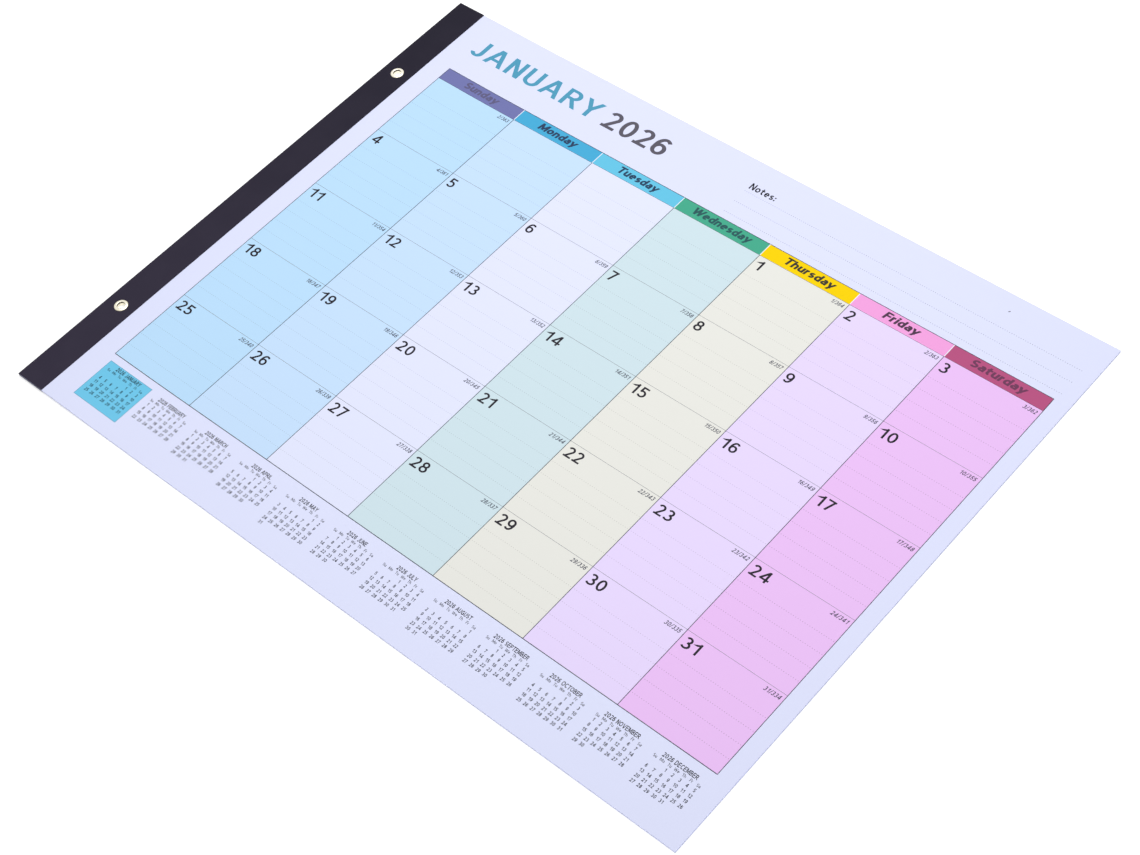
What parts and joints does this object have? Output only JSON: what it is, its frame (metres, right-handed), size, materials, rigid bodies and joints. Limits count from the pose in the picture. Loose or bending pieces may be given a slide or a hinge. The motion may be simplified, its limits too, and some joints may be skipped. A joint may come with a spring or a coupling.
{
  "type": "wall calendar",
  "caption": "Wide wall calendar: a thin flat pad of monthly leaves gathered in a folded strip along one short edge, with rolled eyelets through the strip to hang it by.",
  "frame": {"origin": "Under the middle of the calendar's outline, on the surface that it lies on.", "axes": "+X along the lines of print, from the binding strip to the free edge. +Y to the head of the page. +Z out of the printed face, up when the calendar lies on its back."},
  "size_m": [0.4318, 0.3302, 0.0027],
  "materials": {
    "paper": "matt printed paper",
    "strip": "matt black coated sheet",
    "eyelet": "bright"
  },
  "bodies": {
    "root": {"month_pages": "paper", "binding_strip": "strip", "eyelet_upper": "eyelet", "eyelet_lower": "eyelet"}
  },
  "joints": []
}
